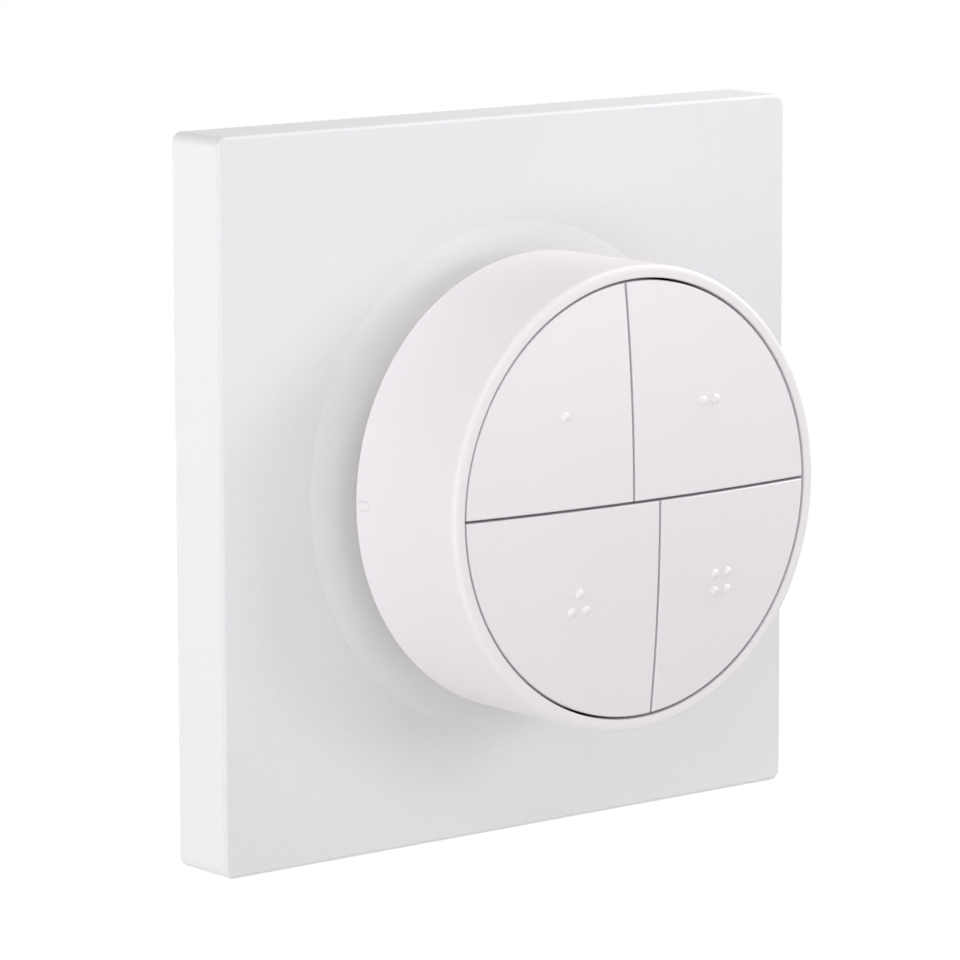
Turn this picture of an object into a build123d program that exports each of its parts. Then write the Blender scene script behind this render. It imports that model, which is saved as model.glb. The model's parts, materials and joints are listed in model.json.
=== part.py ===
from build123d import *
import os
from math import acos, cos, hypot, pi, radians, sin, sqrt, tan

os.makedirs("parts", exist_ok=True)

# Four-key dial switch on a square wall plate.
# The wall is the plane Y = 0 and the front looks towards -Y, with +Z up.
# A depth is a distance from the wall towards the front, so a depth d lies at Y = -d.

# Wall plate
plate_side = 80.0
plate_thickness = 8.3
plate_corner_radius = 1.2
plate_edge_chamfer = 0.3
plate_wall = 2.0
plate_face = 2.2
plate_rib = 1.2
plate_rib_height = 1.4
plate_rib_pitch = 28.0
flare_radius = 28.3
flare_rise = 0.4

# Dock in the plate's face that the dial unit stands in
dock_depth = 1.6
dock_floor = 1.2
dock_gap = 0.3
dock_land = 0.5
dock_cup_wall = 1.5
seat_gap = 0.1
lug_width = 3.0
lug_reach = 1.0
lug_height = 1.1
lug_gap = 0.3
dock_lugs = 4

# Wall bracket inside the plate, its steel disc and its adhesive pads
bracket_gap = 1.5
bracket_corner_radius = 4.0
bracket_thickness = 1.8
bracket_hub_side = 24.0
bracket_hub_wall = 1.6
slot_edge = 6.5
slot_width = 4.2
slot_length = 8.0
arm_width = 9.0
arm_thickness = 1.0
arm_height = 4.6
hook_reach = 0.6
hook_height = 1.0
ledge_reach = 0.8
ledge_height = 1.0
snap_gap = 0.2
arm_relief_width = 1.2
arm_relief_length = 5.0
steel_radius = 17.5
steel_thickness = 1.0
steel_fit = 0.1
steel_rim = 1.2
pad_side = 14.0
pad_thickness = 0.5
pad_inset = 3.0
pad_fit = 0.1

# Dial ring
dial_radius = 25.45
dial_height = 21.3
dial_standoff = 4.2
rim_width = 1.42
rim_radius = 0.6
rim_steps = 3
dial_rear_chamfer = 0.25
dial_counterbore = 0.37
pip_width = 1.0
pip_length = 1.9
pip_height = 0.25
pip_chamfer = 0.15
pip_from_rear = 1.6
pip_angle = 180.0

# Gear ring inside the dial, and the pinion that it turns
ring_inset = 1.6
ring_face = 2.4
ring_width = 5.15
ring_fit = 0.05
ring_teeth = 48
pinion_teeth = 12
pressure_angle = 25.0
addendum_share = 0.8
dedendum_share = 1.1
flank_shares = (0, 0.5, 1)
backlash = 0.16
pinion_inset = 0.1
pinion_angle = 45.0
running_gap = 0.1

# Keys
dome_radius = 186.0
key_gap = 0.3
key_thickness = 1.6
key_skirt = 2.9
key_wall = 1.1
key_edge_chamfer = 0.12
split_offset = 1.85
key_travel = 0.5
key_clear = 0.3
key_post_width = 3.4
key_post_blade = 1.0
key_rib = 0.8
key_rib_gap = 1.2
dot_share = 0.4256
dot_pitch = 1.9
dot_radius = 0.55
dot_height = 0.35
hook_share = 0.24
hook_width = 3.0
hook_stem = 0.9
hook_barb = 0.5
barb_height = 1.0
barb_gap = 0.1
hook_slot_gap = 0.25

# Front housing that carries the keys
frame_gap = 0.35
frame_wall = 1.4
frame_clear = 0.3
deck_thickness = 0.9
post_hole_gap = 0.4
boss_radius = 2.4

# Circuit board and what stands on it
board_thickness = 1.0
board_gap = 0.5
switch_side = 6.0
switch_height = 3.6
switch_chamfer = 0.4
switch_deck_gap = 0.1
plunger_radius = 1.5
plunger_proud = 0.7
plunger_depth = 1.0
plunger_fit = 0.08
plunger_end_gap = 0.2
encoder_side = 7.0
encoder_gap = 0.4
encoder_bore_depth = 2.0
shaft_radius = 1.5
shaft_fit = 0.06
shaft_end_gap = 0.15
radio_gap = 1.175
radio_height = 12.0
radio_board = 0.6
radio_can = 1.6
radio_can_inset = 0.8
part_length = 3.2
part_width = 1.6
part_height = 1.2
part_offset = 6.0
part_edge = 5.18

# Rear housing of the dial unit
neck_inset = 2.23
neck_wall = 1.6
neck_chamfer = 0.4
base_floor = 1.5
well_wall = 2.55
post_radius = 2.3
post_gap = 0.7
magnet_side = 5.0
magnet_thickness = 2.0
magnet_skin = 0.6
magnet_fit = 0.1
magnet_rim = 0.8
magnet_count = 4

# Coin cell, its contacts and its cover
cell_room = 10.2
cell_thickness = 3.2
cell_lid_inset = 0.8
cell_can_share = 0.7
cell_fit = 0.35
cell_gap = 0.15
contact_thickness = 0.3
contact_width = 4.0
contact_leg_width = 2.0
contact_gap = 0.1
contact_slot_gap = 0.3
well_ceiling = 0.8
cap_lip = 1.65
cap_thickness = 0.8
cap_fit = 0.2
cap_play = 0.1
cap_ledge = 0.8
cap_lug_thickness = 0.7
cap_lug_width = 4.0
cap_lug_reach = 1.2
cap_lugs = 3
cap_lug_angle = 90.0
cap_turn = 30.0
coin_slot_edge = 5.0
coin_slot_width = 1.8
coin_slot_depth = 0.5

# Housing screws
screw_radius = 1.0
screw_bore_gap = 0.2
screw_thread_fit = 0.05
screw_head_radius = 1.9
screw_head_height = 1.1
screw_head_gap = 0.15
screw_bite = 3.0
screw_end_gap = 0.25
screw_count = 2
screw_recess_radius = 0.7
screw_recess_depth = 0.6

# One length past a face, for cuts that run right through it
overrun = 1.0

# Depths from the wall up to the dial
dock_face = plate_thickness - dock_depth
steel_front = dock_face - dock_floor
steel_rear = steel_front - steel_thickness
cavity_front = plate_thickness - plate_face
puck_rear = dock_face + seat_gap
base_floor_front = puck_rear + base_floor
dial_rear = plate_thickness + dial_standoff
ring_rear = dial_rear + ring_inset
ring_front = ring_rear + ring_face
neck_front = ring_rear - running_gap
frame_rear = ring_front + frame_clear
pinion_rear = ring_rear + pinion_inset
pinion_front = ring_front - pinion_inset

# Depths from the dial's rim back down to the board
dial_front = plate_thickness + dial_height
key_rear = dial_front - key_skirt
frame_front = key_rear - key_clear - key_travel
deck_rear = frame_front - deck_thickness
switch_front = deck_rear - switch_deck_gap
plunger_front = switch_front + plunger_proud
board_front = switch_front - switch_height
board_rear = board_front - board_thickness
encoder_rear = pinion_front + encoder_gap

# Depths of the battery's stack
cap_front = puck_rear + cap_thickness
cap_ledge_rear = cap_front + cap_play
cap_ledge_front = cap_ledge_rear + cap_ledge
cap_lug_rear = cap_ledge_front + cap_play
cap_lug_front = cap_lug_rear + cap_lug_thickness
cell_rear = cap_lug_front + cell_gap
cell_front = cell_rear + cell_thickness
contact_rear = cell_front + contact_gap
contact_front = contact_rear + contact_thickness
well_front = contact_front + well_ceiling

# Radii from the rim inwards
rim_inner = dial_radius - rim_width
key_radius = rim_inner - key_gap
dot_reach = dot_share * key_radius
hook_offset = hook_share * key_radius
frame_radius = rim_inner - frame_gap
frame_inner = frame_radius - frame_wall
board_radius = frame_inner - board_gap
ring_seat = rim_inner + dial_counterbore
ring_radius = ring_seat - ring_fit
ring_pitch = ring_radius - ring_width
gear_module = 2 * ring_pitch / ring_teeth
pinion_pitch = gear_module * pinion_teeth / 2
ring_tip = ring_pitch - addendum_share * gear_module
neck_radius = rim_inner - neck_inset
neck_inner = neck_radius - neck_wall
dock_radius = neck_radius + dock_gap
cell_radius = neck_inner - cell_room
cell_well_radius = cell_radius + cell_fit
well_radius = cell_well_radius + well_wall
cap_radius = cell_well_radius + cap_lip
screw_circle = ring_tip - post_gap - post_radius
magnet_circle = well_radius + magnet_side / 2 + magnet_fit + magnet_rim / 2

# Places across the face
cavity_half = plate_side / 2 - plate_wall
bracket_half = cavity_half - bracket_gap
bracket_side = 2 * bracket_half
screw_spacing = bracket_side - 2 * slot_edge
pad_pitch = bracket_side - pad_side - 2 * pad_inset
encoder_reach = ring_pitch - pinion_pitch
encoder_x = encoder_reach * cos(radians(pinion_angle))
encoder_z = encoder_reach * sin(radians(pinion_angle))
radio_width = 2 * (dot_reach - split_offset / 2 - switch_side / 2 - radio_gap)
screw_length = board_front + screw_bite - puck_rear
key_signs = ((-1, 1), (1, 1), (-1, -1), (1, -1))


def at_depth(depth):
    """Plane at a depth from the wall, looking at the front, with X right and Z up."""
    return Plane.XZ.offset(depth)


def finish(piece, name):
    """Label a finished piece and write it."""
    piece.part.label = name
    export_step(piece.part, f"parts/{name}.step")


def split_x(sign_z):
    """X of the upright split above (1) or below (-1) the level split."""
    return -sign_z * split_offset


def key_centre(sign_x, sign_z):
    """Centre of a key's dots, its post and its switch."""
    return split_x(sign_z) / 2 + sign_x * dot_reach, sign_z * dot_reach


def dome_depth(radius):
    """Depth of the keys' common dome at a radius from the dial's axis."""
    rise = sqrt(dome_radius**2 - radius**2) - sqrt(dome_radius**2 - key_radius**2)
    return dial_front + rise


def involute(angle):
    return tan(angle) - angle


def tooth_points(teeth, root, tip, slack):
    """One gear tooth that points along X: its flanks follow the involute of its base circle."""
    pitch = gear_module * teeth / 2
    base = pitch * cos(radians(pressure_angle))
    flank = []
    for share in flank_shares:
        radius = root + share * (tip - root)
        at_radius = acos(min(1, base / radius))
        half = pi / (2 * teeth) + slack / (2 * pitch)
        half += involute(radians(pressure_angle)) - involute(at_radius)
        flank.append((radius * cos(half), radius * sin(half)))
    start = (flank[0][0] - gear_module, flank[0][1])
    upper = [start] + flank
    lower = [(x, -y) for x, y in reversed(upper)]
    return upper + lower


# The plate is a hollow cover. Its dock is a round cup in the face.
with BuildPart() as wall_plate:
    with BuildSketch(at_depth(0)):
        RectangleRounded(plate_side, plate_side, plate_corner_radius)
    extrude(amount=plate_thickness)
    front_face = wall_plate.faces().sort_by(Axis.Y)[0]
    chamfer(front_face.edges(), plate_edge_chamfer)
    with BuildSketch(at_depth(0)):
        Rectangle(2 * cavity_half, 2 * cavity_half)
    extrude(amount=cavity_front, mode=Mode.SUBTRACT)
    # Ribs across the hollow, behind the face
    with BuildSketch(at_depth(cavity_front - plate_rib_height)):
        with GridLocations(plate_rib_pitch, 0, 2, 1):
            Rectangle(plate_rib, 2 * cavity_half + plate_wall)
        with GridLocations(0, plate_rib_pitch, 1, 2):
            Rectangle(2 * cavity_half + plate_wall, plate_rib)
    extrude(amount=plate_rib_height + plate_face / 2)
    # The cup behind the dock, with a rim that holds the steel disc
    with BuildSketch(at_depth(steel_rear)):
        Circle(steel_radius + steel_fit + steel_rim)
    extrude(amount=cavity_front - steel_rear)
    with BuildSketch(at_depth(steel_front)):
        Circle(dock_radius + dock_cup_wall)
    extrude(amount=cavity_front - steel_front)
    with BuildSketch(at_depth(0)):
        Circle(steel_radius + steel_fit)
    extrude(amount=steel_front, mode=Mode.SUBTRACT)
    # The shallow flare round the dock
    with BuildSketch(Plane.XY):
        with BuildLine():
            Polyline(
                (0, -cavity_front),
                (0, -plate_thickness - flare_rise),
                (dock_radius + dock_land, -plate_thickness - flare_rise),
                (flare_radius, -plate_thickness),
                (flare_radius, -cavity_front),
                close=True,
            )
        make_face()
    revolve(axis=Axis.Y)
    with BuildSketch(at_depth(dock_face)):
        Circle(dock_radius)
    extrude(amount=dock_depth + flare_rise + overrun, mode=Mode.SUBTRACT)
    # Four lugs in the dock keep the dial unit from turning with the dial
    with BuildSketch(at_depth(dock_face)):
        with PolarLocations(dock_radius, dock_lugs):
            Rectangle(2 * lug_reach, lug_width)
    extrude(amount=lug_height)
    # Ledges in the side walls that the bracket's arms snap over
    with BuildSketch(at_depth(arm_height - hook_height - snap_gap - ledge_height)):
        with PolarLocations(cavity_half - ledge_reach / 2, 4):
            Rectangle(ledge_reach, arm_width)
    extrude(amount=ledge_height)
finish(wall_plate, "wall_plate")

# The bracket is a flat plate with four screw slots and four snap arms.
with BuildPart() as mounting_bracket:
    arm_outer = cavity_half - snap_gap - ledge_reach
    with BuildSketch(at_depth(0)):
        RectangleRounded(bracket_side, bracket_side, bracket_corner_radius)
    extrude(amount=bracket_thickness)
    with BuildSketch(at_depth(bracket_thickness)):
        Rectangle(bracket_hub_side, bracket_hub_side)
        hub_inside = bracket_hub_side - 2 * bracket_hub_wall
        Rectangle(hub_inside, hub_inside, mode=Mode.SUBTRACT)
    extrude(amount=steel_rear - bracket_thickness)
    with BuildSketch(at_depth(0)):
        with PolarLocations(screw_spacing / 2, 4):
            SlotOverall(slot_length, slot_width)
    extrude(amount=steel_rear, mode=Mode.SUBTRACT)
    # Snap arms stand on the edges, each between two relief cuts that let it bend
    relief_shift = (arm_width + arm_relief_width) / 2
    with BuildSketch(at_depth(0)):
        with PolarLocations(bracket_half, 4):
            with Locations((0, -relief_shift), (0, relief_shift)):
                Rectangle(2 * arm_relief_length, arm_relief_width)
    extrude(amount=bracket_thickness, mode=Mode.SUBTRACT)
    with BuildSketch(at_depth(0)):
        with PolarLocations(arm_outer - arm_thickness / 2, 4):
            Rectangle(arm_thickness, arm_width)
    extrude(amount=arm_height)
    with BuildSketch(at_depth(arm_height - hook_height)):
        with PolarLocations(arm_outer + (hook_reach - arm_thickness) / 2, 4):
            Rectangle(hook_reach + arm_thickness, arm_width)
    extrude(amount=hook_height)
    # Shallow seats for the pads, in the back
    with BuildSketch(at_depth(0)):
        with GridLocations(pad_pitch, pad_pitch, 2, 2):
            Rectangle(pad_side + 2 * pad_fit, pad_side + 2 * pad_fit)
    extrude(amount=pad_thickness, mode=Mode.SUBTRACT)
finish(mounting_bracket, "mounting_bracket")

with BuildPart() as steel_disc:
    with BuildSketch(at_depth(steel_rear)):
        Circle(steel_radius)
    extrude(amount=steel_thickness)
finish(steel_disc, "steel_disc")

with BuildPart() as adhesive_pads:
    with BuildSketch(at_depth(0)):
        with GridLocations(pad_pitch, pad_pitch, 2, 2):
            Rectangle(pad_side, pad_side)
    extrude(amount=pad_thickness)
finish(adhesive_pads, "adhesive_pads")

# The rear housing: a shallow cup with the battery well, screw posts and magnet pockets.
pocket_side = magnet_side + 2 * magnet_fit
groove_radius = hypot(cell_well_radius + cap_lug_reach, cap_lug_width / 2) + cap_fit
with BuildPart() as base_shell:
    with BuildSketch(at_depth(puck_rear)):
        Circle(neck_radius)
    extrude(amount=neck_front - puck_rear)
    rear_face = base_shell.faces().sort_by(Axis.Y)[-1]
    chamfer(rear_face.edges(), neck_chamfer)
    with BuildSketch(at_depth(base_floor_front)):
        Circle(neck_inner)
    extrude(amount=neck_front - base_floor_front, mode=Mode.SUBTRACT)
    with BuildSketch(at_depth(puck_rear)):
        Circle(well_radius)
    extrude(amount=well_front - puck_rear)
    with BuildSketch(at_depth(puck_rear)):
        with PolarLocations(screw_circle, screw_count):
            Circle(post_radius)
    extrude(amount=board_rear - puck_rear)
    with BuildSketch(at_depth(base_floor_front)):
        with PolarLocations(magnet_circle, magnet_count, start_angle=180 / magnet_count):
            Rectangle(pocket_side + 2 * magnet_rim, pocket_side + 2 * magnet_rim)
    extrude(amount=puck_rear + magnet_skin + magnet_thickness - base_floor_front)
    with BuildSketch(at_depth(puck_rear + magnet_skin)):
        with PolarLocations(magnet_circle, magnet_count, start_angle=180 / magnet_count):
            Rectangle(pocket_side, pocket_side)
    extrude(amount=magnet_thickness, mode=Mode.SUBTRACT)
    # Battery well, the cover's recess and the groove of its quarter-turn lugs
    with BuildSketch(at_depth(puck_rear)):
        Circle(cell_well_radius)
    extrude(amount=contact_front - puck_rear, mode=Mode.SUBTRACT)
    with BuildSketch(at_depth(puck_rear)):
        Circle(cap_radius + cap_fit)
    extrude(amount=cap_ledge_rear - puck_rear, mode=Mode.SUBTRACT)
    with BuildSketch(at_depth(cap_ledge_front)):
        Circle(groove_radius)
    extrude(amount=cap_lug_front + cap_play - cap_ledge_front, mode=Mode.SUBTRACT)
    with BuildSketch(at_depth(puck_rear)):
        with PolarLocations(cell_well_radius, cap_lugs, start_angle=cap_lug_angle - cap_turn):
            Rectangle(2 * (cap_lug_reach + cap_fit), cap_lug_width + 2 * cap_fit)
    extrude(amount=cap_ledge_front - puck_rear, mode=Mode.SUBTRACT)
    # Slot beside the cell for the plus contact, and slots in the ceiling for both legs
    with BuildSketch(at_depth(cell_rear)):
        with Locations((cell_well_radius, 0)):
            Rectangle(
                2 * (contact_thickness + contact_slot_gap), contact_width + 2 * contact_slot_gap
            )
    extrude(amount=well_front - cell_rear, mode=Mode.SUBTRACT)
    with BuildSketch(at_depth(contact_rear)):
        with Locations((-cell_radius / 2, 0)):
            Rectangle(
                contact_thickness + 2 * contact_slot_gap, contact_leg_width + 2 * contact_slot_gap
            )
    extrude(amount=well_front - contact_rear, mode=Mode.SUBTRACT)
    # Screw bores with their counterbores, and the notches of the dock's lugs
    with BuildSketch(at_depth(puck_rear)):
        with PolarLocations(screw_circle, screw_count):
            Circle(screw_radius + screw_bore_gap)
    extrude(amount=board_rear - puck_rear, mode=Mode.SUBTRACT)
    with BuildSketch(at_depth(puck_rear)):
        with PolarLocations(screw_circle, screw_count):
            Circle(screw_head_radius + screw_head_gap)
    extrude(amount=screw_head_height + screw_head_gap, mode=Mode.SUBTRACT)
    with BuildSketch(at_depth(puck_rear)):
        with PolarLocations(dock_radius, dock_lugs):
            Rectangle(2 * (lug_reach + lug_gap), lug_width + 2 * lug_gap)
    extrude(amount=lug_height + lug_gap - seat_gap, mode=Mode.SUBTRACT)
finish(base_shell, "base_shell")

with BuildPart() as battery_cover:
    with BuildSketch(at_depth(puck_rear)):
        Circle(cap_radius)
    extrude(amount=cap_thickness)
    with BuildSketch(at_depth(cap_front)):
        Circle(cell_well_radius - cap_fit)
    extrude(amount=cap_lug_front - cap_front)
    with BuildSketch(at_depth(cap_lug_rear)):
        with PolarLocations(cell_well_radius - cap_lug_reach / 2, cap_lugs, start_angle=cap_lug_angle):
            Rectangle(3 * cap_lug_reach, cap_lug_width)
    extrude(amount=cap_lug_thickness)
    with BuildSketch(at_depth(puck_rear)):
        Rectangle(2 * (cap_radius - coin_slot_edge), coin_slot_width)
    extrude(amount=coin_slot_depth, mode=Mode.SUBTRACT)
finish(battery_cover, "battery_cover")

# The cell's can is wider than its lid, so its section has a small step.
with BuildPart() as coin_cell:
    can_front = cell_rear + cell_can_share * cell_thickness
    with BuildSketch(at_depth(cell_rear)):
        Circle(cell_radius)
    extrude(amount=can_front - cell_rear)
    with BuildSketch(at_depth(can_front)):
        Circle(cell_radius - cell_lid_inset)
    extrude(amount=cell_front - can_front)
finish(coin_cell, "coin_cell")

# The minus contact lies on the well's ceiling, and its leg rises to the board.
with BuildPart() as battery_contact_minus:
    with BuildSketch(at_depth(contact_rear)):
        Rectangle(cell_radius + contact_width, contact_width)
    extrude(amount=contact_thickness)
    with BuildSketch(at_depth(contact_rear)):
        with Locations((-cell_radius / 2, 0)):
            Rectangle(contact_thickness, contact_leg_width)
    extrude(amount=board_rear - contact_rear)
finish(battery_contact_minus, "battery_contact_minus")

# The plus contact stands beside the can in its slot.
with BuildPart() as battery_contact_plus:
    plus_x = cell_radius + contact_gap + contact_thickness / 2
    with BuildSketch(at_depth(cell_rear)):
        with Locations((plus_x, 0)):
            Rectangle(contact_thickness, contact_width)
    extrude(amount=contact_front - cell_rear)
    with BuildSketch(at_depth(cell_rear)):
        with Locations((plus_x, 0)):
            Rectangle(contact_thickness, contact_leg_width)
    extrude(amount=board_rear - cell_rear)
finish(battery_contact_plus, "battery_contact_plus")

with BuildPart() as dock_magnets:
    with BuildSketch(at_depth(puck_rear + magnet_skin)):
        with PolarLocations(magnet_circle, magnet_count, start_angle=180 / magnet_count):
            Rectangle(magnet_side, magnet_side)
    extrude(amount=magnet_thickness)
finish(dock_magnets, "dock_magnets")

with BuildPart() as housing_screws:
    head_rear = puck_rear + screw_head_gap
    with BuildSketch(at_depth(head_rear)):
        with PolarLocations(screw_circle, screw_count):
            Circle(screw_head_radius)
    extrude(amount=screw_head_height)
    with BuildSketch(at_depth(head_rear)):
        with PolarLocations(screw_circle, screw_count):
            Circle(screw_radius)
    extrude(amount=screw_length - screw_head_gap)
    with BuildSketch(at_depth(head_rear)):
        with PolarLocations(screw_circle, screw_count):
            RegularPolygon(screw_recess_radius, 6)
    extrude(amount=screw_recess_depth, mode=Mode.SUBTRACT)
finish(housing_screws, "housing_screws")

# The dial is a tube, revolved from its section. Short chords round its rim.
rim_points = []
for step in range(rim_steps + 1):
    turn = step * pi / (2 * rim_steps)
    radius = dial_radius - rim_radius * (1 - cos(turn))
    rim_points.append((radius, -dial_front + rim_radius * (1 - sin(turn))))
with BuildPart() as dial_ring:
    with BuildSketch(Plane.XY):
        with BuildLine():
            Polyline(
                (ring_seat, -dial_rear),
                (dial_radius - dial_rear_chamfer, -dial_rear),
                (dial_radius, -dial_rear - dial_rear_chamfer),
                *rim_points,
                (rim_inner, -dial_front),
                (rim_inner, -ring_front),
                (ring_seat, -ring_front),
                close=True,
            )
        make_face()
    revolve(axis=Axis.Y)
    # The pip is an oval pad on the side wall, at the angle of the pointer
    pip_turn = radians(pip_angle)
    pip_plane = Plane(
        origin=(
            (dial_radius - pip_height) * cos(pip_turn),
            -dial_rear - pip_from_rear,
            (dial_radius - pip_height) * sin(pip_turn),
        ),
        x_dir=(0, -1, 0),
        z_dir=(cos(pip_turn), 0, sin(pip_turn)),
    )
    with BuildSketch(pip_plane):
        SlotOverall(pip_length, pip_width)
    extrude(amount=2 * pip_height)
    pip_top = dial_ring.faces().sort_by(Axis((0, 0, 0), (cos(pip_turn), 0, sin(pip_turn))))[-1]
    chamfer(pip_top.edges(), pip_chamfer)
finish(dial_ring, "dial_ring")

with BuildPart() as ring_gear:
    ring_root = ring_pitch + dedendum_share * gear_module
    with BuildSketch(at_depth(ring_rear)):
        Circle(ring_radius)
        Circle(ring_tip, mode=Mode.SUBTRACT)
        with PolarLocations(0, ring_teeth):
            Polygon(
                *tooth_points(ring_teeth, ring_tip, ring_root, backlash),
                align=None,
                mode=Mode.SUBTRACT,
            )
    extrude(amount=ring_face)
finish(ring_gear, "ring_gear")

# The pinion's first tooth points outwards, into a gap of the gear ring.
with BuildPart() as encoder_pinion:
    pinion_root = pinion_pitch - dedendum_share * gear_module
    pinion_tip = pinion_pitch + addendum_share * gear_module
    with BuildSketch(at_depth(pinion_rear)):
        with Locations((encoder_x, encoder_z)):
            Circle(pinion_root)
            with PolarLocations(0, pinion_teeth, start_angle=pinion_angle):
                Polygon(
                    *tooth_points(pinion_teeth, pinion_root, pinion_tip, -backlash),
                    align=None,
                )
            Circle(shaft_radius + shaft_fit, mode=Mode.SUBTRACT)
    extrude(amount=pinion_front - pinion_rear)
finish(encoder_pinion, "encoder_pinion")

with BuildPart() as encoder_shaft:
    shaft_front = encoder_rear + encoder_bore_depth - shaft_end_gap
    with BuildSketch(at_depth(pinion_rear)):
        with Locations((encoder_x, encoder_z)):
            Circle(shaft_radius)
    extrude(amount=shaft_front - pinion_rear)
finish(encoder_shaft, "encoder_shaft")

with BuildPart() as encoder_body:
    with BuildSketch(at_depth(encoder_rear)):
        with Locations((encoder_x, encoder_z)):
            Rectangle(encoder_side, encoder_side)
            Circle(shaft_radius + shaft_fit, mode=Mode.SUBTRACT)
    extrude(amount=encoder_bore_depth)
    with BuildSketch(at_depth(encoder_rear + encoder_bore_depth)):
        with Locations((encoder_x, encoder_z)):
            Rectangle(encoder_side, encoder_side)
    extrude(amount=board_rear - encoder_rear - encoder_bore_depth)
finish(encoder_body, "encoder_body")

# The front housing is a cup that opens backwards. Its deck guides the keys.
with BuildPart() as key_frame:
    with BuildSketch(at_depth(frame_rear)):
        Circle(frame_radius)
    extrude(amount=frame_front - frame_rear)
    with BuildSketch(at_depth(frame_rear)):
        Circle(frame_inner)
    extrude(amount=deck_rear - frame_rear, mode=Mode.SUBTRACT)
    with BuildSketch(at_depth(board_front)):
        with PolarLocations(screw_circle, screw_count):
            Circle(boss_radius)
    extrude(amount=deck_rear - board_front)
    with BuildSketch(at_depth(board_front)):
        with PolarLocations(screw_circle, screw_count):
            Circle(screw_radius + screw_thread_fit)
    extrude(amount=screw_bite + screw_end_gap, mode=Mode.SUBTRACT)
    for sign_x, sign_z in key_signs:
        key_x, key_z = key_centre(sign_x, sign_z)
        slot_depth = hook_stem + 2 * hook_slot_gap
        slot_span = hook_width + 2 * hook_slot_gap
        post_hole = key_post_width + 2 * post_hole_gap
        with BuildSketch(at_depth(deck_rear)):
            with Locations((key_x, key_z)):
                Rectangle(post_hole, post_hole)
            with Locations((key_x + sign_x * hook_offset, key_z)):
                Rectangle(slot_depth, slot_span)
            with Locations((key_x, key_z + sign_z * hook_offset)):
                Rectangle(slot_span, slot_depth)
        extrude(amount=deck_thickness, mode=Mode.SUBTRACT)
finish(key_frame, "key_frame")

with BuildPart() as main_board:
    with BuildSketch(at_depth(board_rear)):
        Circle(board_radius)
        with PolarLocations(screw_circle, screw_count):
            Circle(screw_radius + screw_bore_gap, mode=Mode.SUBTRACT)
    extrude(amount=board_thickness)
finish(main_board, "main_board")

with BuildPart() as radio_module:
    with BuildSketch(at_depth(board_front)):
        Rectangle(radio_width, radio_height)
    extrude(amount=radio_board)
    with BuildSketch(at_depth(board_front + radio_board)):
        Rectangle(radio_width - radio_can_inset, radio_height - 3 * radio_can_inset)
    extrude(amount=radio_can)
    chamfer(radio_module.faces().sort_by(Axis.Y)[0].edges(), radio_can_inset / 4)
finish(radio_module, "radio_module")

with BuildPart() as board_parts:
    with BuildSketch(at_depth(board_front)):
        with GridLocations(2 * part_offset, 2 * (board_radius - part_edge), 2, 2):
            Rectangle(part_length, part_width)
    extrude(amount=part_height)
finish(board_parts, "board_parts")

with BuildPart() as switch_bodies:
    for sign_x, sign_z in key_signs:
        with BuildSketch(at_depth(board_front)):
            with Locations(key_centre(sign_x, sign_z)):
                Rectangle(switch_side, switch_side)
        extrude(amount=switch_height)
    chamfer(switch_bodies.faces().group_by(Axis.Y)[0].edges(), switch_chamfer)
    bore_floor = switch_front - plunger_depth - key_travel - plunger_end_gap
    for sign_x, sign_z in key_signs:
        with BuildSketch(at_depth(bore_floor)):
            with Locations(key_centre(sign_x, sign_z)):
                Circle(plunger_radius + plunger_fit)
        extrude(amount=switch_front - bore_floor, mode=Mode.SUBTRACT)
finish(switch_bodies, "switch_bodies")


def build_plunger(number, sign_x, sign_z):
    """Round button of one tact switch, which the key's post presses."""
    with BuildPart() as plunger:
        with BuildSketch(at_depth(switch_front - plunger_depth)):
            with Locations(key_centre(sign_x, sign_z)):
                Circle(plunger_radius)
        extrude(amount=plunger_front - switch_front + plunger_depth)
    finish(plunger, f"switch_plunger_{number}")


def dot_places(number):
    """Offsets of a key's dots from their centre: one, a pair, a triangle or a square."""
    half = dot_pitch / 2
    places = {
        1: [(0, 0)],
        2: [(-half, 0), (half, 0)],
        3: [(0, half), (-half, -half), (half, -half)],
        4: [(-half, half), (half, half), (-half, -half), (half, -half)],
    }
    return places[number]


def key_outline(sign_x, sign_z, inset):
    """Face of one key: a piece of the disc beyond both splits, drawn in by an inset."""
    edge = key_gap / 2 + inset
    reach = 2 * key_radius
    Circle(key_radius - inset)
    corner = (split_x(sign_z) + sign_x * edge, sign_z * edge)
    centre = (corner[0] + sign_x * reach / 2, corner[1] + sign_z * reach / 2)
    with Locations(centre):
        Rectangle(reach, reach, mode=Mode.INTERSECT)


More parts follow.
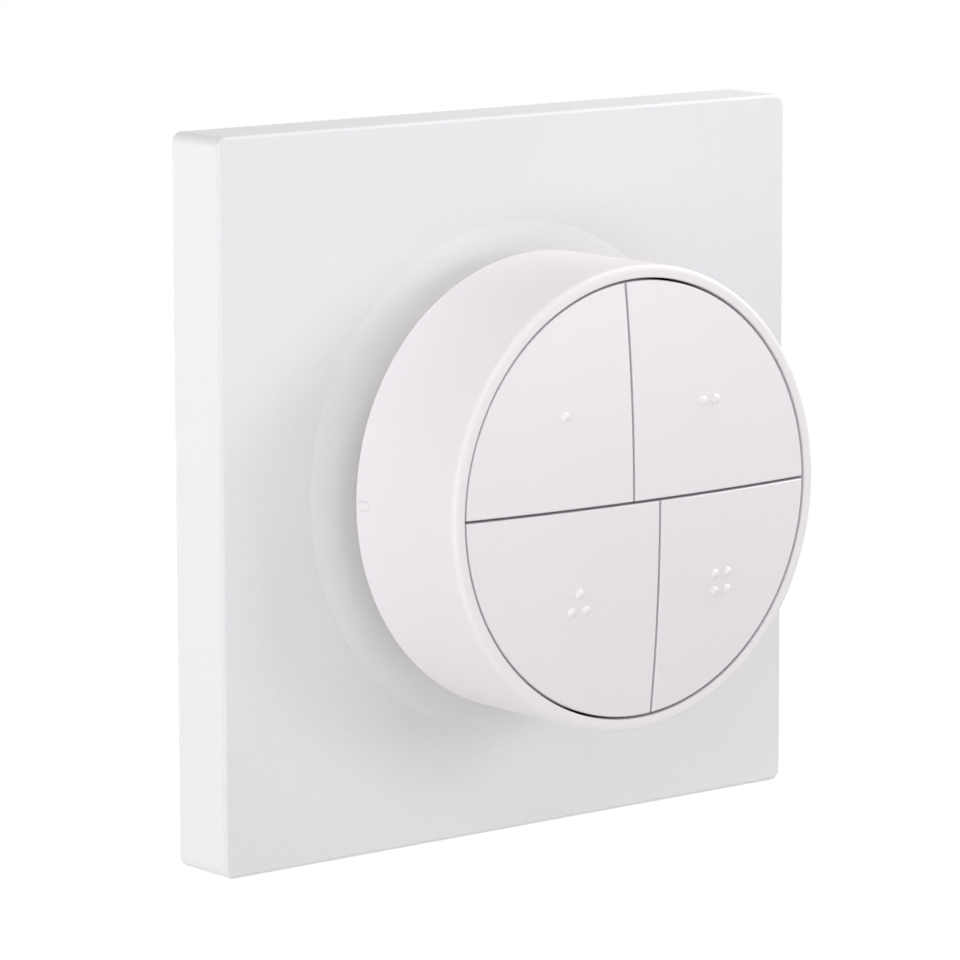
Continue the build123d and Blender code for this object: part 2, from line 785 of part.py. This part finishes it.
def build_key(number, sign_x, sign_z):
    """A key: domed top, skirt, ribs, the post over its switch, two hooks and its dots."""
    key_x, key_z = key_centre(sign_x, sign_z)
    key_reach = hypot(key_x, key_z)
    peak = dome_depth(0)
    with BuildPart() as key:
        with BuildSketch(at_depth(key_rear)):
            key_outline(sign_x, sign_z, 0)
        extrude(amount=peak - key_rear)
        with Locations((0, dome_radius - peak, 0)):
            Sphere(dome_radius, mode=Mode.INTERSECT)
        front = key.faces().sort_by(Axis.Y)[0]
        chamfer(front.edges(), key_edge_chamfer)
        # The hollow's ceiling is a flat face that leans with the dome, and a cross of ribs stays
        ceiling = Plane(
            origin=(key_x, key_thickness - dome_depth(key_reach), key_z),
            x_dir=(0, 0, 1),
            z_dir=(key_x, -sqrt(dome_radius**2 - key_reach**2), key_z),
        )
        with BuildPart(mode=Mode.SUBTRACT):
            with BuildSketch(at_depth(key_rear)):
                key_outline(sign_x, sign_z, key_wall)
            extrude(amount=peak - key_rear)
            with BuildSketch(ceiling):
                Rectangle(4 * key_radius, 4 * key_radius)
            extrude(amount=-2 * dial_height, mode=Mode.INTERSECT)
            with BuildSketch(at_depth(key_rear + key_rib_gap)):
                with Locations((key_x, key_z)):
                    Rectangle(key_rib, 2 * key_radius)
                    Rectangle(2 * key_radius, key_rib)
            extrude(amount=peak - key_rear, mode=Mode.SUBTRACT)
        # Post and hooks start inside the dome's slab
        root = dial_front - key_thickness / 4
        with BuildSketch(at_depth(plunger_front)):
            with Locations((key_x, key_z)):
                Rectangle(key_post_width, key_post_blade)
                Rectangle(key_post_blade, key_post_width)
        extrude(amount=root - plunger_front)
        barb_front = deck_rear - barb_gap
        barb_rear = barb_front - barb_height
        side = (key_x + sign_x * hook_offset, key_z)
        end = (key_x, key_z + sign_z * hook_offset)
        barb_shift = hook_barb / 2
        with BuildSketch(at_depth(barb_rear)):
            with Locations(side):
                Rectangle(hook_stem, hook_width)
            with Locations(end):
                Rectangle(hook_width, hook_stem)
        extrude(amount=root - barb_rear)
        with BuildSketch(at_depth(barb_rear)):
            with Locations((side[0] + sign_x * barb_shift, side[1])):
                Rectangle(hook_stem + hook_barb, hook_width)
            with Locations((end[0], end[1] + sign_z * barb_shift)):
                Rectangle(hook_width, hook_stem + hook_barb)
        extrude(amount=barb_height)
        # Raised dots are caps of small spheres
        ball = (dot_radius**2 + dot_height**2) / (2 * dot_height)
        for dot_x, dot_z in dot_places(number):
            x = key_x + dot_x
            z = key_z + dot_z
            depth = dome_depth(hypot(x, z)) + dot_height - ball
            with Locations((x, -depth, z)):
                Sphere(ball)
    finish(key, f"key_{number}")


for index, (sign_x, sign_z) in enumerate(key_signs):
    build_plunger(index + 1, sign_x, sign_z)
    build_key(index + 1, sign_x, sign_z)
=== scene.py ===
import json
import bpy
from math import cos, radians, sin
from mathutils import Matrix, Vector


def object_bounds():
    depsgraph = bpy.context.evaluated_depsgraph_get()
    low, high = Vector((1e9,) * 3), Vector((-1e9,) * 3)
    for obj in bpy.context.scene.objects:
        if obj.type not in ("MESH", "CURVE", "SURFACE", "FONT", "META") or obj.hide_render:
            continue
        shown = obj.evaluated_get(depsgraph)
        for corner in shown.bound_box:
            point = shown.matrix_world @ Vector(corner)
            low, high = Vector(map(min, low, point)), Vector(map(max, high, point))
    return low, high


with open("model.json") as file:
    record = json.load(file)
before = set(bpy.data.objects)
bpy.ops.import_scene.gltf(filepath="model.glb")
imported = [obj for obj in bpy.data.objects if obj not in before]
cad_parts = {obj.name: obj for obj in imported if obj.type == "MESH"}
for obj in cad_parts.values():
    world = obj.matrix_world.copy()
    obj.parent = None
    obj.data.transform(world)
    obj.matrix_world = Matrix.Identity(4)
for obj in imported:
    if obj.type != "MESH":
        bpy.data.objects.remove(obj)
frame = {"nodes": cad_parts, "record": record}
cadBox = [list(corner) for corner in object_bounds()]
scene = bpy.context.scene
scene.view_settings.view_transform = "Standard"
print("frame loaded with", len(frame["nodes"]), "nodes")

mm = 0.001  # sizes below are in metres, written as millimetres times this

# The camera stands where the photograph was taken from: left of the front, a little above.
cameraView = {
    "place": Vector((-369.68, -461.68, 94.79)) * mm,
    "azimuth": radians(-38.8246),
    "elevation": radians(9.2552),
    "roll": radians(-0.148),
    "lens": 200.515,
    "sensor": 36,  # millimetres, as the lens is
    "nearest": 10 * mm,
}


def addCamera(view):
    azimuth, elevation, roll = view["azimuth"], view["elevation"], view["roll"]
    back = Vector((
        sin(azimuth) * cos(elevation),
        -cos(azimuth) * cos(elevation),
        sin(elevation),
    ))
    right = (-back).cross(Vector((0, 0, 1))).normalized()
    up = right.cross(-back)
    rolledRight = cos(roll) * right + sin(roll) * up
    rolledUp = cos(roll) * up - sin(roll) * right
    turn = Matrix((rolledRight, rolledUp, back)).transposed()
    data = bpy.data.cameras.new("camera")
    data.lens = view["lens"]
    data.sensor_width = view["sensor"]
    data.clip_start = view["nearest"]
    camera = bpy.data.objects.new("camera", data)
    camera.matrix_world = Matrix.Translation(view["place"]) @ turn.to_4x4()
    scene.collection.objects.link(camera)
    scene.camera = camera


addCamera(cameraView)
print("camera placed")


# A wire is one output socket. Sums and products on wires add Math nodes.
class Wire:
    def __init__(self, shader, socket):
        self.shader = shader
        self.socket = socket

    def maths(self, operation, first, second):
        return self.shader.node(
            "ShaderNodeMath", {"operation": operation}, {0: first, 1: second}
        )

    def __add__(self, other):
        return self.maths("ADD", self, other)

    def __radd__(self, other):
        return self.maths("ADD", other, self)

    def __sub__(self, other):
        return self.maths("SUBTRACT", self, other)

    def __rsub__(self, other):
        return self.maths("SUBTRACT", other, self)

    def __mul__(self, other):
        return self.maths("MULTIPLY", self, other)

    def __rmul__(self, other):
        return self.maths("MULTIPLY", other, self)


# A shader fills the empty node tree of a material or of the world.
class Shader:
    def __init__(self, owner):
        self.owner = owner
        owner.use_nodes = True
        self.tree = owner.node_tree
        self.tree.nodes.clear()

    # Adds any node: its type, its settings, then its sockets by name or number. out is
    # the name or number of the socket that is handed on.
    def node(self, kind, settings=None, sockets=None, out=0):
        made = self.tree.nodes.new(kind)
        for key, value in (settings or {}).items():
            setattr(made, key, value)
        for key, value in (sockets or {}).items():
            if isinstance(value, Wire):
                self.tree.links.new(value.socket, made.inputs[key])
            else:
                made.inputs[key].default_value = value
        return Wire(self, made.outputs[out]) if made.outputs else made

    # Place on the piece in metres, which moves with it
    def place(self):
        return self.node("ShaderNodeTexCoord", out="Object")

    def noise(self, place, size, detail, roughness=0.5):
        sockets = {"Vector": place, "Scale": 1 / size, "Detail": detail, "Roughness": roughness}
        return self.node("ShaderNodeTexNoise", {}, sockets, "Fac")

    def stretched(self, place, scale):
        settings = {"operation": "MULTIPLY"}
        return self.node("ShaderNodeVectorMath", settings, {0: place, 1: scale})

    # Sockets 6 and 7 of a Mix node are its two colours, and output 2 is their mixture
    def mixed(self, share, first, second):
        sockets = {"Factor": share, 6: first, 7: second}
        return self.node("ShaderNodeMix", {"data_type": "RGBA"}, sockets, 2)

    def bevelled(self, radius):
        return self.node("ShaderNodeBevel", {"samples": 6}, {"Radius": radius})

    def bumped(self, height, depth, normal):
        sockets = {"Height": height, "Distance": depth, "Normal": normal}
        return self.node("ShaderNodeBump", {}, sockets)

    def principled(self, sockets):
        return self.node("ShaderNodeBsdfPrincipled", {}, sockets)

    def blended(self, share, first, second):
        return self.node("ShaderNodeMixShader", {}, {0: share, 1: first, 2: second})

    # 1 for what the camera sees and what shines in a gloss, 0 for light on the object
    def seen(self):
        straight = self.node("ShaderNodeLightPath", out="Is Camera Ray")
        mirrored = self.node("ShaderNodeLightPath", out="Is Glossy Ray")
        return straight + mirrored

    def finish(self, surface, output="ShaderNodeOutputMaterial"):
        self.node(output, {}, {"Surface": surface})
        return self.owner


# A colour as a socket takes it, made lighter or darker by lift
def rgba(colour, lift=1.0):
    return tuple(min(1.0, part * lift) for part in colour) + (1.0,)


# The plate swells towards the dial on a cone: 0 at its outer end, 1 at its inner end
def dishSwell(shader, place, look):
    flat = shader.stretched(place, (1, 0, 1))  # across the wall, without the depth
    radius = shader.node("ShaderNodeVectorMath", {"operation": "LENGTH"}, {0: flat}, "Value")
    ends = {"Value": radius, "From Min": look["outer"], "From Max": look["inner"]}
    return shader.node("ShaderNodeMapRange", {}, ends)


noiseMiddle = 0.5  # a noise texture varies around this

# What all the moulded plastics have in common
mouldTexture = {
    "darkest": 0.94,  # times the plastic's own colour
    "lightest": 1.06,
    "cloudRough": 0.08,
    "grainBreak": 0.6,
    "speckRatio": 3.1,  # size of the coarse specks over that of the grain
    "grainShare": 0.7,
    "speckShare": 0.3,
}


# Moulded plastic: the tool's fine spark grain, a faint cloudiness, and edges that are
# softened by the polish of the mould.
def mouldedPlastic(name, look):
    shader = Shader(bpy.data.materials.new(name))
    place = shader.place()
    texture = mouldTexture
    cloud = shader.noise(place, look["cloudSize"], detail=3)
    grain = shader.noise(
        place, look["grainSize"], detail=2, roughness=texture["grainBreak"]
    )
    speck = shader.noise(place, look["grainSize"] * texture["speckRatio"], detail=1)
    cloudSwing = cloud - noiseMiddle
    grainSwing = grain - noiseMiddle
    tone = cloudSwing * look["cloudTone"] + grainSwing * look["grainTone"] + noiseMiddle
    dark = rgba(look["colour"], texture["darkest"])
    light = rgba(look["colour"], texture["lightest"])
    spread = cloudSwing * texture["cloudRough"] + grainSwing * look["roughSpread"]
    normal = shader.bevelled(look["edge"])
    if "swell" in look:
        swell = dishSwell(shader, place, look["swell"])
        normal = shader.bumped(swell, look["swell"]["rise"], normal)
    relief = grain * texture["grainShare"] + speck * texture["speckShare"]
    surface = shader.principled({
        "Base Color": shader.mixed(tone, dark, light),
        "Roughness": look["roughness"] + spread,
        "Normal": shader.bumped(relief, look["grainDepth"], normal),
        "IOR": look["ior"],
        "Specular IOR Level": look["gloss"],
    })
    return shader.finish(surface)


plateLook = {
    "colour": (0.815, 0.8, 0.823),
    "roughness": 0.56,
    "roughSpread": 0.12,
    "grainSize": 0.2 * mm,
    "grainDepth": 0.018 * mm,
    "grainTone": 0.9,
    "cloudSize": 26 * mm,
    "cloudTone": 0.18,
    "edge": 0.22 * mm,
    "ior": 1.46,
    "gloss": 0.45,
    # radii of the flare's cone, whose slope the light catches a little more strongly
    "swell": {"outer": 28.3 * mm, "inner": 22.6 * mm, "rise": 0.4 * mm},
}
dialLook = {
    "colour": (0.85, 0.818, 0.845),
    "roughness": 0.42,
    "roughSpread": 0.05,
    "grainSize": 0.14 * mm,
    "grainDepth": 0.0022 * mm,
    "grainTone": 0.03,
    "cloudSize": 18 * mm,
    "cloudTone": 0.12,
    "edge": 0.25 * mm,
    "ior": 1.49,
    "gloss": 0.5,
}
keyLook = {
    "colour": (0.835, 0.802, 0.832),
    "roughness": 0.42,
    "roughSpread": 0.06,
    "grainSize": 0.16 * mm,
    "grainDepth": 0.003 * mm,
    "grainTone": 0.04,
    "cloudSize": 14 * mm,
    "cloudTone": 0.14,
    "edge": 0.03 * mm,
    "ior": 1.49,
    "gloss": 0.5,
}
innerLook = {
    "colour": (0.77, 0.765, 0.76),
    "roughness": 0.5,
    "roughSpread": 0.1,
    "grainSize": 0.3 * mm,
    "grainDepth": 0.006 * mm,
    "grainTone": 0.05,
    "cloudSize": 9 * mm,
    "cloudTone": 0.3,
    "edge": 0.15 * mm,
    "ior": 1.5,
    "gloss": 0.5,
}
gearLook = {
    "colour": (0.8, 0.78, 0.71),
    "roughness": 0.34,
    "roughSpread": 0.06,
    "grainSize": 0.4 * mm,
    "grainDepth": 0.002 * mm,
    "grainTone": 0.03,
    "cloudSize": 4 * mm,
    "cloudTone": 0.25,
    "edge": 0.08 * mm,
    "ior": 1.48,
    "gloss": 0.5,
}
switchLook = {
    "colour": (0.022, 0.022, 0.024),
    "roughness": 0.46,
    "roughSpread": 0.14,
    "grainSize": 0.12 * mm,
    "grainDepth": 0.006 * mm,
    "grainTone": 0.3,
    "cloudSize": 3 * mm,
    "cloudTone": 0.4,
    "edge": 0.1 * mm,
    "ior": 1.5,
    "gloss": 0.5,
}


# What the plated metals have in common
platingTexture = {
    "darkest": 0.86,
    "lightest": 1.1,
    "bloomShare": 0.6,
    "streakShare": 0.4,
    "streakBreak": 0.6,
    "streakRough": 0.16,
    "bloomRough": 0.2,
}


# Plated sheet: rolling streaks along one way, and the dull bloom of handling
def platedMetal(name, look):
    shader = Shader(bpy.data.materials.new(name))
    place = shader.place()
    texture = platingTexture
    along = shader.stretched(place, look["grainWay"])
    streak = shader.noise(
        along, look["grainSize"], detail=4, roughness=texture["streakBreak"]
    )
    bloom = shader.noise(place, look["bloomSize"], detail=3)
    tone = bloom * texture["bloomShare"] + streak * texture["streakShare"]
    dark = rgba(look["colour"], texture["darkest"])
    light = rgba(look["colour"], texture["lightest"])
    streakSpread = (streak - noiseMiddle) * texture["streakRough"]
    bloomSpread = (bloom - noiseMiddle) * texture["bloomRough"]
    surface = shader.principled({
        "Base Color": shader.mixed(tone, dark, light),
        "Metallic": 1.0,
        "Roughness": look["roughness"] + streakSpread + bloomSpread,
        "Normal": shader.bumped(streak, look["grainDepth"], shader.bevelled(look["edge"])),
    })
    return shader.finish(surface)


steelLook = {
    "colour": (0.56, 0.56, 0.57),
    "roughness": 0.34,
    "grainWay": (1, 1, 24),
    "grainSize": 2.4 * mm,
    "grainDepth": 0.002 * mm,
    "bloomSize": 7 * mm,
    "edge": 0.08 * mm,
}
nickelLook = {
    "colour": (0.66, 0.64, 0.6),
    "roughness": 0.2,
    "grainWay": (5, 1, 1),
    "grainSize": 0.9 * mm,
    "grainDepth": 0.0008 * mm,
    "bloomSize": 3 * mm,
    "edge": 0.06 * mm,
}


# Foam tape: closed cells under a thin skin
def foamTape(name, look):
    shader = Shader(bpy.data.materials.new(name))
    place = shader.place()
    cellPlace = {"Vector": place, "Scale": 1 / look["cellSize"]}
    cells = shader.node("ShaderNodeTexVoronoi", {}, cellPlace, "Distance")
    cloud = shader.noise(place, look["cloudSize"], detail=3)
    tone = cells * look["cellTone"] + cloud * look["cloudTone"]
    dark = rgba(look["colour"], look["darkest"])
    light = rgba(look["colour"], look["lightest"])
    surface = shader.principled({
        "Base Color": shader.mixed(tone, dark, light),
        "Roughness": look["roughness"] + (cloud - noiseMiddle) * look["roughSpread"],
        "Normal": shader.bumped(cells, look["cellDepth"], shader.bevelled(look["edge"])),
    })
    return shader.finish(surface)


padLook = {
    "colour": (0.055, 0.055, 0.06),
    "darkest": 0.7,
    "lightest": 1.35,
    "cellTone": 0.5,
    "cloudTone": 0.5,
    "roughness": 0.72,
    "roughSpread": 0.2,
    "cellSize": 0.35 * mm,
    "cellDepth": 0.03 * mm,
    "cloudSize": 5 * mm,
    "edge": 0.1 * mm,
}


# Solder mask over copper: the tracks show as a slightly lighter, raised net
def solderMask(name, look):
    shader = Shader(bpy.data.materials.new(name))
    place = shader.place()
    upright = {"Vector": place, "Rotation": (radians(90), 0, 0)}
    tracks = shader.node(
        "ShaderNodeTexBrick",
        {"offset": look["trackOffset"], "squash": look["trackSquash"]},
        {
            "Vector": shader.node("ShaderNodeMapping", {}, upright),
            "Scale": 1 / look["trackPitch"],
            "Mortar Size": look["trackWidth"],
            "Mortar Smooth": look["trackBlur"],
            "Bias": look["trackBias"],
        },
        "Fac",
    )
    cloud = shader.noise(place, look["cloudSize"], detail=3)
    tone = tracks * look["trackTone"] + cloud * look["cloudTone"]
    surface = shader.principled({
        "Base Color": shader.mixed(tone, rgba(look["colour"]), rgba(look["trackColour"])),
        "Roughness": look["roughness"] + cloud * look["roughSpread"],
        "Normal": shader.bumped(tracks, look["trackDepth"], shader.bevelled(look["edge"])),
        "Coat Weight": look["coat"],
    })
    return shader.finish(surface)


boardLook = {
    "colour": (0.012, 0.09, 0.035),
    "trackColour": (0.03, 0.2, 0.08),
    "trackTone": 0.8,
    "cloudTone": 0.2,
    "roughness": 0.24,
    "roughSpread": 0.14,
    "coat": 0.3,
    "trackOffset": 0.5,
    "trackSquash": 0.6,
    "trackWidth": 0.035,  # share of the pitch
    "trackBlur": 0.2,
    "trackBias": -0.2,
    "trackPitch": 4 * mm,
    "trackDepth": 0.03 * mm,
    "cloudSize": 6 * mm,
    "edge": 0.08 * mm,
}

finishes = {
    "plate_white": mouldedPlastic("plate white, fine grain", plateLook),
    "dial_white": mouldedPlastic("dial white, satin", dialLook),
    "key_white": mouldedPlastic("key white, satin", keyLook),
    "inner_white": mouldedPlastic("inner white", innerLook),
    "gear_white": mouldedPlastic("acetal", gearLook),
    "switch_black": mouldedPlastic("switch black", switchLook),
    "steel": platedMetal("plated steel", steelLook),
    "nickel": platedMetal("nickel plate", nickelLook),
    "pad_foam": foamTape("foam tape", padLook),
    "board_green": solderMask("solder mask", boardLook),
}
print("finishes made:", len(finishes))

sharpAngle = radians(32)


# Every CAD node takes the finish of its slot in the record, and shades smoothly over its
# rounds, with sharp edges kept.
def dressNode(node, finish):
    for slot in node.material_slots:
        slot.material = finish
    node.data.shade_smooth()
    node.data.set_sharp_from_angle(angle=sharpAngle)


slotOf = {part["node"]: part["material_slot"] for part in frame["record"]["subparts"]}
for nodeName, node in frame["nodes"].items():
    dressNode(node, finishes[slotOf[nodeName]])
print("nodes dressed:", len(slotOf))

pureWhite = (1.0, 1.0, 1.0)
floorLook = {
    "side": 8.0,
    "drop": 120 * mm,  # below the plate's lower edge
    "colour": (0.86, 0.86, 0.86),
    "glow": 0.9,  # share of plain white that the camera sees, over the floor's own shading
    "white": 1.08,
}


# The floor glows only for the camera and in reflections, and is clear from below.
def addFloor(look):
    low = cadBox[0][2] - look["drop"]
    half = look["side"] / 2
    corners = [(-half, -half, low), (half, -half, low), (half, half, low), (-half, half, low)]
    mesh = bpy.data.meshes.new("floor")
    mesh.from_pydata(corners, [], [(0, 1, 2, 3)])
    floor = bpy.data.objects.new("floor", mesh)
    scene.collection.objects.link(floor)
    shader = Shader(bpy.data.materials.new("floor"))
    share = shader.seen() * look["glow"]
    matte = shader.node("ShaderNodeBsdfDiffuse", {}, {"Color": rgba(look["colour"])})
    plain = {"Color": rgba(pureWhite), "Strength": look["white"]}
    glow = shader.node("ShaderNodeEmission", {}, plain)
    above = shader.blended(share, matte, glow)
    below = shader.node("ShaderNodeNewGeometry", out="Backfacing")
    clear = shader.node("ShaderNodeBsdfTransparent")
    mesh.materials.append(shader.finish(shader.blended(below, above, clear)))


addFloor(floorLook)

worldLook = {"fill": 0.3, "white": 1.0}


# A soft fill from all sides, and plain white where the camera or a gloss sees the world
def lightWorld(look):
    scene.world = bpy.data.worlds.new("studio")
    shader = Shader(scene.world)
    glows = [
        shader.node("ShaderNodeBackground", {}, {"Color": rgba(pureWhite), "Strength": glow})
        for glow in (look["fill"], look["white"])
    ]
    shader.finish(shader.blended(shader.seen(), *glows), "ShaderNodeOutputWorld")


lightWorld(worldLook)

# Each lamp is a soft box that looks at the middle of the dial. Places and sizes are in
# metres, powers in watts.
lampAim = Vector((0, -0.02, 0))
lamps = {
    "leftBox": {"place": (-0.9, -0.2, 0.15), "size": (0.6, 0.8), "power": 4.5},
    "rightBox": {"place": (0.28, -0.05, 0.16), "size": (0.1, 0.1), "power": 0.46},
    "topBox": {"place": (0.17, -0.08, 0.33), "size": (0.09, 0.09), "power": 0.3},
    "keyBox": {"place": (-0.06, -0.16, 0.12), "size": (0.1, 0.1), "power": 0.06},
    "sheenBox": {"place": (0.42, -0.75, 0.15), "size": (0.3, 0.3), "power": 1.16},
    "lowBox": {"place": (-0.3, -0.6, -0.1), "size": (0.6, 0.1), "power": 0.5},
    "backBox": {"place": (-0.2, 0.92, 0.0), "size": (0.7, 0.28), "power": 4.5},
}


def addLamp(name, lamp):
    data = bpy.data.lights.new(name, "AREA")
    data.shape = "RECTANGLE"
    data.size, data.size_y = lamp["size"]
    data.energy = lamp["power"]
    box = bpy.data.objects.new(name, data)
    box.visible_camera = False
    turn = (lampAim - Vector(lamp["place"])).to_track_quat("-Z", "Y")
    box.matrix_world = Matrix.Translation(lamp["place"]) @ turn.to_matrix().to_4x4()
    scene.collection.objects.link(box)


for lampName, lamp in lamps.items():
    addLamp(lampName, lamp)
print("floor, world and", len(lamps), "lamps set")
